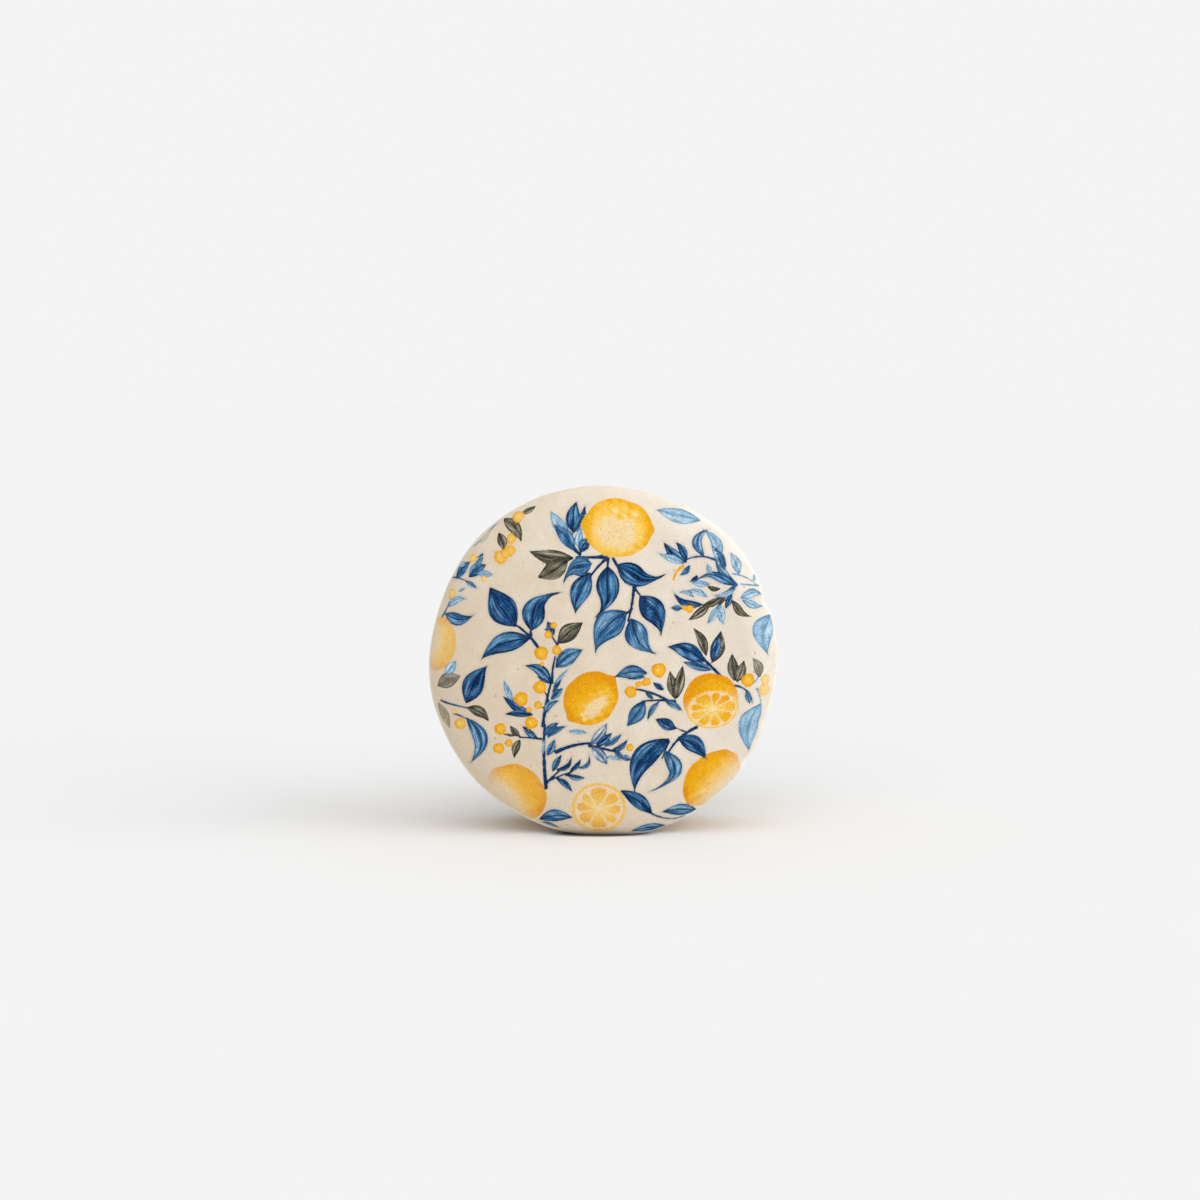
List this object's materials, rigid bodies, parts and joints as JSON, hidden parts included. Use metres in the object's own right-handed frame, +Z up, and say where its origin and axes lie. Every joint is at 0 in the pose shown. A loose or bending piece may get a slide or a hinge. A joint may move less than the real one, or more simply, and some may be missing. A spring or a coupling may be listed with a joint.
{
  "type": "french macaron",
  "caption": "Round french macaron standing on its edge: two domed almond shells with ruffled feet and a pale gold filling between, the faces printed with lemons and blue leaves.",
  "frame": {"origin": "on the surface it stands on, under the middle of the macaron", "axes": "+Z up; +Y along the axis of the discs, from the front shell to the back one; the printed front looks along -Y"},
  "size_m": [0.0446, 0.0214, 0.0448],
  "materials": {
    "front_shell": "matte",
    "filling": "satin",
    "back_shell": "matte"
  },
  "bodies": {
    "root": {"front_shell": "front_shell", "filling": "filling", "back_shell": "back_shell"}
  },
  "joints": []
}
